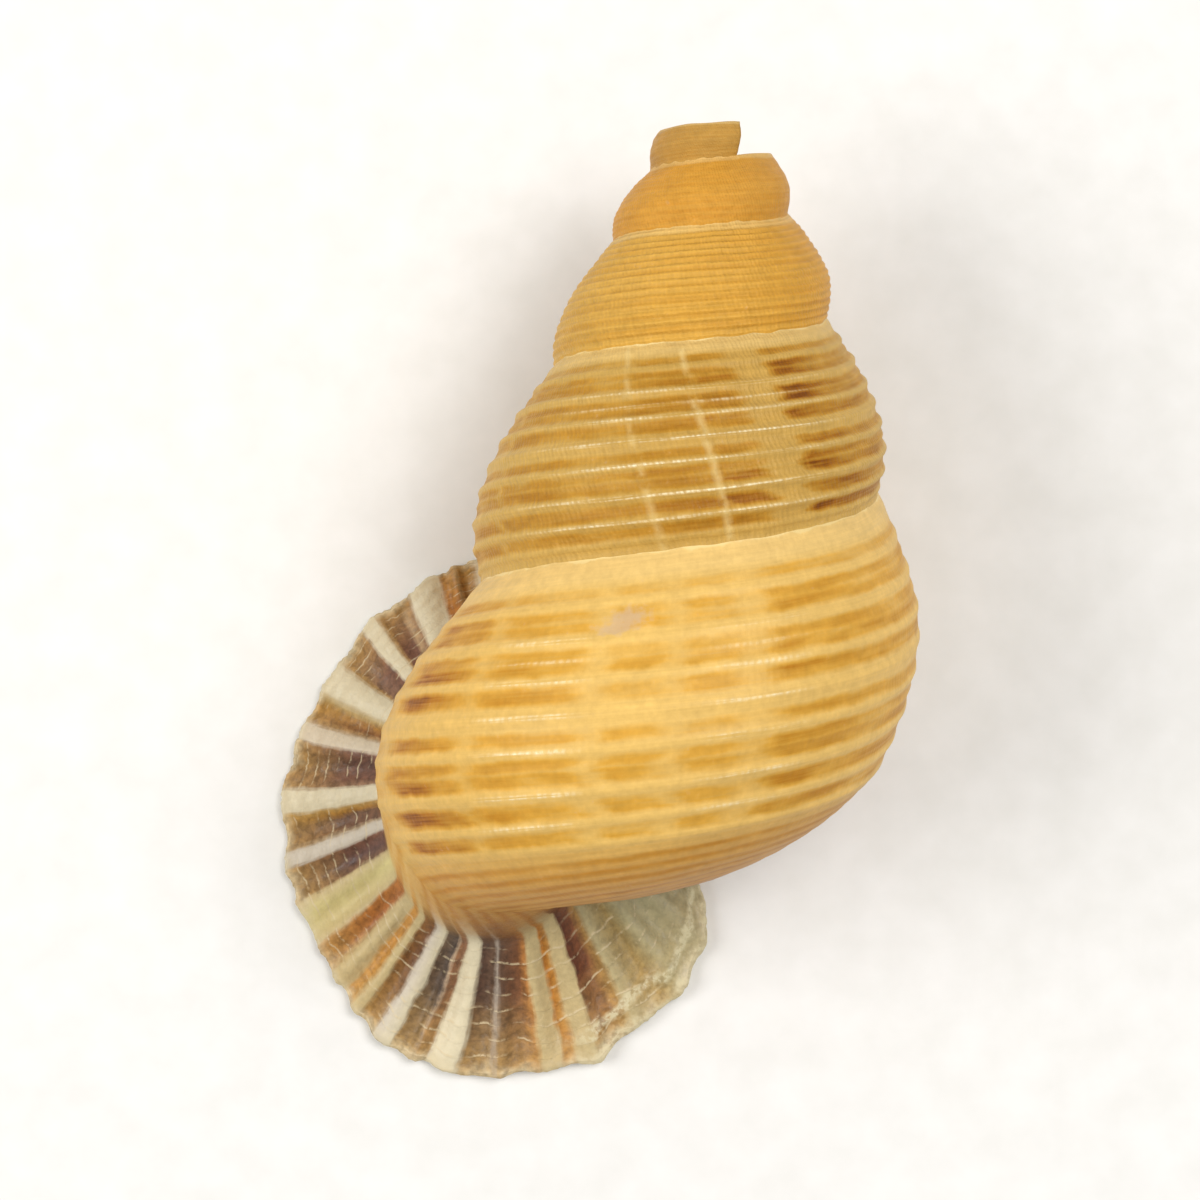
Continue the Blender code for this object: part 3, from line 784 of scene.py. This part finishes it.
def whorl_material():
    """Aragonite shell wall, its pigment laid down in bands by the mantle: silky, warm and a little waxy."""
    material, add, shader, spot, grown = start_material("aragonite_banded_whorls", *GROWTH[:5])
    turn, cord, age, threads, scar = grown
    sheet = add("CombineXYZ", {"X": turn, "Y": cord, "Z": threads})
    # Fine streaks that run with the spiral, 0.1 to 0.3 mm wide, and hatching that runs with the growth.
    streak = stretched_noise(add, sheet, (6.0, 75.0, 0.0), Detail=4.0, Roughness=0.6)
    hatch = stretched_noise(add, sheet, (0.0, 20.0, 0.8), Detail=3.0, Roughness=0.65)
    wander = add("TexNoise", {"Vector": spot, "Scale": 1800.0, "Detail": 4.0})
    rough = add("TexNoise", {"Vector": spot, "Scale": 5000.0, "Detail": 3.0, "Roughness": 0.6})
    # Axial threads: 84 to 118 in a half turn, 0.1 to 0.2 mm apart, crossed on early whorls by even cords.
    phase = add("Math", {0: threads, 1: 2 * math.pi}, operation="MULTIPLY")
    phase = add("Math", {0: wander, 1: 3.0, 2: phase}, operation="MULTIPLY_ADD")
    even = add("Math", {0: phase}, operation="SINE")
    fine = add("MapRange", {"Value": hatch, **span(0.3, 0.7, -1.1, 1.1)}, clamp=False)
    thread = add("Math", {0: even, 1: 0.42, 2: fine}, operation="MULTIPLY_ADD")
    plain = add("MapRange", {"Value": turn, **span(2.9, 3.9, 1.0, 0.25)})
    thread_part = add("Math", {0: thread, 1: plain}, operation="MULTIPLY")
    wavy = add("Math", {0: wander, 1: 0.024, 2: -0.012}, operation="MULTIPLY_ADD")
    cord_bent = add("Math", {0: cord, 1: wavy}, operation="ADD")
    net = early_net(add, turn, cord_bent)
    weave = add("Math", {0: thread_part, 1: net}, operation="ADD")

    # The base is a deeper tan, and the strip under the suture paler.
    ground = laid_down(add, turn, GROUND)
    body = add("MapRange", {"Value": turn, **span(3.2, 3.6)})
    deeper = laid_down(add, cord, DEEPENING)
    deeper = add("Math", {0: deeper, 1: body}, operation="MULTIPLY")
    ground = add("Mix", {"Factor": deeper, "A": ground, "B": DEEP_BASE}, data_type="RGBA")
    paler = laid_down(add, cord, [(0.0, 0.55), (0.03, 0.45), (0.09, 0.38), (0.13, 0.0)])
    ground = add("Mix", {"Factor": paler, "A": ground, "B": "#E2C382"}, data_type="RGBA")
    patchy = stretched_noise(add, sheet, (11.0, 13.0, 0.0), Detail=2.0)
    brown = brown_amount(add, turn, cord_bent, age, hatch, streak, patchy)
    pigment = laid_down(add, brown, PIGMENT)
    banded = add("Mix", {"Factor": 1.0, "A": ground, "B": pigment}, data_type="RGBA", blend_type="MULTIPLY")

    # Painted light and shade on the weave's relief: crests lighter, grooves darker; the streaks and a dusty
    # grain of 0.1 mm vary the tone as well.
    tone = add("MapRange", {"Value": weave, **span(-2.0, 2.0, 0.90, 1.09)})
    for value, swing in ((streak, 0.06), (rough, 0.07), (wander, 0.05)):
        other = add("MapRange", {"Value": value, **span(0.3, 0.7, 1 - swing, 1 + swing)})
        tone = add("Math", {0: tone, 1: other}, operation="MULTIPLY")
    marked = add("VectorMath", {0: banded, "Scale": tone}, operation="SCALE")
    beads_and_painted_glints = bead_glint_amount(add, turn, cord, thread, streak)
    lines = pale_lines(add, turn, cord, age, rough, wander)
    # One rubbed patch is greyish pink, with ragged edges.
    patch = add("Math", {0: rough, 1: 1.5, 2: scar}, operation="MULTIPLY_ADD")
    patch = add("MapRange", {"Value": patch, **span(1.00, 1.50, 0.0, 0.66)})
    # The pale tint on the beads is painted highlight; the cream lines and the rubbed patch are the shell's
    # own colour.
    for amount, tint in ((beads_and_painted_glints, "#FBEFC8"), (lines, "#EAD293"), (patch, "#C4A888")):
        marked = add("Mix", {"Factor": amount, "A": marked, "B": tint}, data_type="RGBA")
    material.node_tree.links.new(marked, shader.inputs["Base Color"])

    # Relief too fine for the mesh: threads, beads, streaks.
    relief = add("Math", {0: beads_and_painted_glints, 1: 1.5, 2: weave}, operation="MULTIPLY_ADD")
    relief = add("Math", {0: streak, 1: 0.6, 2: relief}, operation="MULTIPLY_ADD")
    bump = add("Bump", {"Strength": 0.55, "Distance": 0.000012, "Height": relief})
    material.node_tree.links.new(bump, shader.inputs["Normal"])
    gloss = add("MapRange", {"Value": streak, **span(0.3, 0.7, 0.36, 0.52)})
    gloss = add("Math", {0: beads_and_painted_glints, 1: -0.20, 2: gloss}, operation="MULTIPLY_ADD")
    material.node_tree.links.new(gloss, shader.inputs["Roughness"])
    shader.inputs["Specular IOR Level"].default_value = 0.14
    shader.inputs["IOR"].default_value = 1.53
    return material


# Colours round the lip, as (degrees at mid flare, colour): porcelain ribs and brown rays between them.
WHITE, BLUISH, CREAM, PURPLE, GOLD = "#D6C9A8", "#C6BAA6", "#BFAA7A", "#724C38", "#9A6C28"
UPPER_RAYS = [(95.0, WHITE), (97.5, GOLD), (100.5, "#8F6236"), (101.8, "#B39368"), (102.6, "#9C5F22"),
              (106.0, "#A5682A"), (107.6, WHITE), (115.6, WHITE), (117.0, "#94704F"), (119.3, "#A98A62"),
              (120.6, PURPLE), (124.6, PURPLE), (125.8, "#A88454"), (127.2, WHITE), (131.2, WHITE),
              (132.4, PURPLE), (139.8, "#7A5A42"), (141.2, "#A5814E"), (142.8, WHITE), (150.0, WHITE),
              (152.5, "#B79C66"), (154.6, GOLD), (157.6, "#7B5028"), (159.2, "#A17E52"), (160.8, "#CFBFA4"),
              (165.0, "#CFBFA4")]
LEFT_RAYS = [(165.0, "#CFBFA4"), (166.6, PURPLE), (171.0, "#5A3C2E"), (176.5, PURPLE), (178.8, "#8D6C50"),
             (180.2, WHITE), (185.6, WHITE), (187.0, "#B08A4A"), (188.6, GOLD), (190.4, "#6B4A30"),
             (194.2, "#6F4D36"), (195.4, "#A38B6C"), (196.6, BLUISH), (200.0, BLUISH), (201.2, PURPLE),
             (206.0, "#5E4238"), (208.6, "#75563F"), (210.0, CREAM), (214.0, "#D4C587"), (220.6, CREAM),
             (222.0, "#A5682C"), (226.4, "#9E6230"), (228.2, CREAM), (232.6, CREAM), (233.9, "#B4803A"),
             (235.4, "#B4803A"), (236.8, CREAM), (237.0, CREAM)]
LOWER_RAYS = [(237.0, CREAM), (238.6, CREAM), (239.6, "#80562A"), (243.0, "#6A4424"), (244.4, BLUISH),
              (247.8, WHITE), (248.9, "#66503A"), (252.6, "#4E4036"), (253.6, "#A48A6E"), (254.4, "#855C3C"),
              (256.0, "#8A6244"), (257.2, WHITE), (261.8, WHITE), (263.2, "#5A4030"), (267.6, "#5C4432"),
              (268.9, "#A29484"), (270.0, "#604634"), (275.5, "#74492A"), (277.8, "#A86F34"), (279.0, CREAM),
              (283.0, CREAM), (284.0, "#A9691C"), (285.6, "#B07A34"), (287.0, CREAM), (291.2, CREAM),
              (292.2, "#5A2E18"), (296.2, "#7A4A2C"), (299.5, "#A17B42"), (301.5, "#B0A278"),
              (309.0, "#98804C"), (314.0, "#AAA078"), (336.0, "#A29C7C")]


def ray_colours(add, degrees):
    """The three tables of rays, one after the other round the lip."""
    rays = laid_down(add, degrees, UPPER_RAYS)
    for start, table in ((165.0, LEFT_RAYS), (237.0, LOWER_RAYS)):
        past = add("Math", {0: degrees, 1: start}, operation="GREATER_THAN")
        rays = add("Mix", {"Factor": past, "A": rays, "B": laid_down(add, degrees, table)}, data_type="RGBA")
    return rays


def lamella_lines(add, sheet, reach, wander, rough):
    """Thin edges of growth lamellae: short arcs across the rays, 0.3 to 0.4 mm apart."""
    bend = stretched_noise(add, sheet, (0.07, 0.8, 0.0), Detail=2.0, Roughness=0.5)
    phase = add("Math", {0: rough, 1: 0.22}, operation="MULTIPLY")
    phase = add("Math", {0: bend, 1: 2.0, 2: phase}, operation="MULTIPLY_ADD")
    phase = add("Math", {0: reach, 1: 9.0, 2: phase}, operation="MULTIPLY_ADD")
    saw = add("Math", {0: phase}, operation="FRACT")
    line = laid_down(add, saw, [(0.0, 0.0), (0.80, 0.0), (0.90, 1.0), (0.95, 1.0), (1.0, 0.0)])
    some = add("MapRange", {"Value": wander, **span(0.47, 0.58)})
    torn = add("MapRange", {"Value": rough, **span(0.36, 0.52)})
    out_here = add("MapRange", {"Value": reach, **span(0.02, 0.14)})
    for share in (some, torn, out_here, 0.7):
        line = add("Math", {0: line, 1: share}, operation="MULTIPLY")
    return line, saw


def neck_wall(add, turn, cord):
    """The whorl's own ground, with its bands and base lines, where it turns into the neck."""
    bands = add("Math", {0: band_amount(add, cord), 1: 0.28}, operation="MULTIPLY")
    bands = add("Math", {0: bands, 1: base_lines(add, turn, cord)}, operation="MAXIMUM")
    on_base = laid_down(add, cord, DEEPENING)
    wall = add("Mix", {"Factor": on_base, "A": "#D8AF62", "B": DEEP_BASE}, data_type="RGBA")
    return add("Mix", {"Factor": 1.0, "A": wall, "B": laid_down(add, bands, PIGMENT)}, data_type="RGBA",
               blend_type="MULTIPLY")


def lobe_chalk(add, sweep, reach, wander, rough):
    """Right of the last ray the edge is thick, layered and chalky."""
    lobe = laid_down(add, sweep, [(280.0, 0.0), (286.0, 0.25), (292.0, 1.0), (340.0, 1.0)])
    chalk = add("Math", {0: wander, 1: 0.24, 2: reach}, operation="MULTIPLY_ADD")
    chalk = laid_down(add, chalk, [(0.90, 0.0), (0.935, 0.8), (0.97, 0.8), (1.0, 0.15), (1.06, 0.20),
                                   (1.09, 0.60), (1.2, 0.60)])
    flakes = add("MapRange", {"Value": rough, **span(0.42, 0.55, 0.25)})
    for share in (flakes, lobe):
        chalk = add("Math", {0: chalk, 1: share}, operation="MULTIPLY")
    return chalk


def lip_material():
    """Aragonite lip of many thin layers: porcelain ribs, mottled brown rays and lifted, flaking edges."""
    material, add, shader, spot, grown = start_material(
        "aragonite_rayed_lip", "turn", "cord", "sweep", "reach")
    turn, cord, sweep, reach = grown
    wander = add("TexNoise", {"Vector": spot, "Scale": 1500.0, "Detail": 3.0})
    rough = add("TexNoise", {"Vector": spot, "Scale": 5500.0, "Detail": 3.0, "Roughness": 0.6})
    # The rays' edges feather by about a degree, in fine streaks that run outwards.
    sheet = add("CombineXYZ", {"X": sweep, "Y": reach})
    streak = stretched_noise(add, sheet, (1.1, 3.0, 0.0), Detail=3.0, Roughness=0.6)
    bent = sweep
    for value, much in ((wander, 2.4), (streak, 1.8), (rough, 0.9)):
        bent = add("Math", {0: value, 1: much, 2: bent}, operation="MULTIPLY_ADD")
    bent = add("Math", {0: bent, 1: 2.55}, operation="SUBTRACT")
    rays = ray_colours(add, bent)
    grey = add("RGBToBW", {"Color": rays})
    dark = add("MapRange", {"Value": grey, **span(0.16, 0.46, 1.0, 0.0)})
    # Outwards the brown thins to gold and then to a pale margin.
    outer = add("Math", {0: wander, 1: 0.30, 2: reach}, operation="MULTIPLY_ADD")
    gold = laid_down(add, outer, [(0.55, 0.0), (0.85, 0.35), (1.15, 0.75)])
    gold = add("Math", {0: gold, 1: dark}, operation="MULTIPLY")
    margin = add("MapRange", {"Value": outer, **span(1.06, 1.17, 0.0, 0.7)})
    for amount, tint in ((gold, "#AF8A4C"), (margin, "#CBBC98")):
        rays = add("Mix", {"Factor": amount, "A": rays, "B": tint}, data_type="RGBA")
    # Mottled in the brown, faint and chalky on the white.
    scales = stretched_noise(add, sheet, (0.45, 17.0, 0.0), Detail=2.0, Distortion=0.6)
    mottle = add("Math", {0: rough, 1: scales}, operation="ADD")
    mottle = add("MapRange", {"Value": mottle, **span(0.75, 1.25, -0.28, 0.40)})
    strength = add("Math", {0: dark, 1: 0.78, 2: 0.12}, operation="MULTIPLY_ADD")
    mottle = add("Math", {0: mottle, 1: strength, 2: 1.0}, operation="MULTIPLY_ADD")
    tinted = add("VectorMath", {0: rays, "Scale": mottle}, operation="SCALE")
    # Inwards the lip runs into the golden tan neck; where the base overhangs the neck, the neck is painted
    # dark brown shade.
    under_base_shade = laid_down(add, sweep, [(235.0, 0.0), (268.0, 1.0), (345.0, 1.0), (360.0, 0.0)])
    inward = add("Math", {0: wander, 1: 0.30, 2: reach}, operation="MULTIPLY_ADD")
    inward = add("Math", {0: under_base_shade, 1: -0.08, 2: inward}, operation="MULTIPLY_ADD")
    inward = add("MapRange", {"Value": inward, **span(-0.46, 0.13, 0.86, 0.0)})
    # The neck's golden tan, turning to painted shade, dark brown, under the overhanging base.
    neck = add("Mix", {"Factor": under_base_shade, "A": "#CB9A4C", "B": "#7A4C22"}, data_type="RGBA")
    # The whorl's wall runs on over the neck and fades out on the way down.
    wall = neck_wall(add, turn, cord)
    run_on = add("Math", {0: wander, 1: 0.5, 2: reach}, operation="MULTIPLY_ADD")
    run_on = laid_down(add, run_on, [(-0.75, 1.0), (-0.45, 0.75), (0.0, 0.10), (0.15, 0.0)])
    line, saw = lamella_lines(add, sheet, reach, wander, rough)
    chalk = lobe_chalk(add, sweep, reach, wander, rough)
    for amount, tint in ((inward, neck), (run_on, wall), (line, "#D4C19A"), (chalk, "#D2C8A2")):
        tinted = add("Mix", {"Factor": amount, "A": tinted, "B": tint}, data_type="RGBA")
    material.node_tree.links.new(tinted, shader.inputs["Base Color"])

    # Steps of the lamellae and grit, both under 0.05 mm high.
    height = add("Math", {0: rough, 1: 0.5, 2: saw}, operation="MULTIPLY_ADD")
    bump = add("Bump", {"Strength": 0.8, "Distance": 0.00005, "Height": height})
    material.node_tree.links.new(bump, shader.inputs["Normal"])
    gloss = add("MapRange", {"Value": rough, **span(0.35, 0.65, 0.34, 0.58)})
    material.node_tree.links.new(gloss, shader.inputs["Roughness"])
    shader.inputs["Specular IOR Level"].default_value = 0.30
    shader.inputs["IOR"].default_value = 1.53
    return material


def throat_material():
    """Aragonite throat, glazed smooth by the mantle: pale, with the outer rays showing through faintly."""
    material, add, shader, _, grown = start_material("aragonite_glazed_throat", "sweep", "reach")
    sweep, reach = grown
    ground = laid_down(add, reach, [(1.0, "#E2DAC2"), (1.45, "#DCCBAA"), (2.1, "#C79F6E"), (2.8, "#9C6E42")])
    sheet = add("CombineXYZ", {"X": sweep, "Y": reach})
    ray = stretched_noise(add, sheet, (0.12, 0.7, 0.0), Detail=2.0)
    ray = add("MapRange", {"Value": ray, **span(0.5, 0.7, 0.0, 0.5)})
    rayed = add("Mix", {"Factor": ray, "A": ground, "B": "#9A6A42"}, data_type="RGBA")
    material.node_tree.links.new(rayed, shader.inputs["Base Color"])
    shader.inputs["Roughness"].default_value = 0.22
    shader.inputs["IOR"].default_value = 1.53
    return material


def table_material():
    """Matt pale card."""
    material, add, shader, spot, _ = start_material("matt_pale_card")
    grain = add("TexNoise", {"Vector": spot, "Scale": 900.0, "Detail": 3.0})
    tone = add("ValToRGB", {"Fac": grain}, stops=((0.3, "#E4E2DD"), (0.7, "#EAE8E4")))
    material.node_tree.links.new(tone, shader.inputs["Base Color"])
    shader.inputs["Roughness"].default_value = 0.85
    return material


def add_table():
    """A wide flat floor under the shell."""
    mesh = bpy.data.meshes.new("table")
    half = 0.6
    mesh.from_pydata([(-half, -half, 0), (half, -half, 0), (half, half, 0), (-half, half, 0)], [],
                     [(0, 1, 2, 3)])
    mesh.materials.append(table_material())
    obj = bpy.data.objects.new("table", mesh)
    bpy.context.scene.collection.objects.link(obj)


def add_light(name, spot, size, power):
    """A square soft light that faces the shell."""
    lamp = bpy.data.lights.new(name, "AREA")
    lamp.size = size
    lamp.energy = power
    obj = bpy.data.objects.new(name, lamp)
    obj.location = spot
    aim = -np.array(spot) / np.linalg.norm(spot)
    obj.rotation_euler = Vector(aim.tolist()).to_track_quat("-Z", "Y").to_euler()
    bpy.context.scene.collection.objects.link(obj)


# The camera's height above the coil's axis, and how wide the view is there.
CAMERA_HIGH, VIEW_WIDE = 80.63, 27.644


def add_camera():
    """Straight above the shell, as near as the photograph's perspective says."""
    lens = bpy.data.cameras.new("above")
    lens.sensor_width = 36.0
    lens.lens = lens.sensor_width * CAMERA_HIGH / VIEW_WIDE
    lens.clip_start = 0.001
    camera = bpy.data.objects.new("above", lens)
    camera.location = (SHIFT[0] * MM, SHIFT[1] * MM, (CAMERA_HIGH + REST_HEIGHT) * MM)
    bpy.context.scene.collection.objects.link(camera)
    bpy.context.scene.camera = camera


def add_studio():
    """Floor, two soft lights, even white surroundings and the camera."""
    add_table()
    add_light("soft_left", (-0.155, 0.005, 0.145), 0.12, 0.25)
    add_light("soft_right", (0.09, 0.05, 0.20), 0.12, 0.32)
    world = bpy.data.worlds.new("studio")
    world.use_nodes = True
    world.node_tree.nodes["Background"].inputs["Color"].default_value = (1, 1, 1, 1)
    world.node_tree.nodes["Background"].inputs["Strength"].default_value = 0.42
    bpy.context.scene.world = world
    bpy.context.scene.view_settings.view_transform = "Standard"
    add_camera()


add_studio()
shell = make_shell([whorl_material(), lip_material(), throat_material()])
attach(shell, "root")
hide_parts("shell")
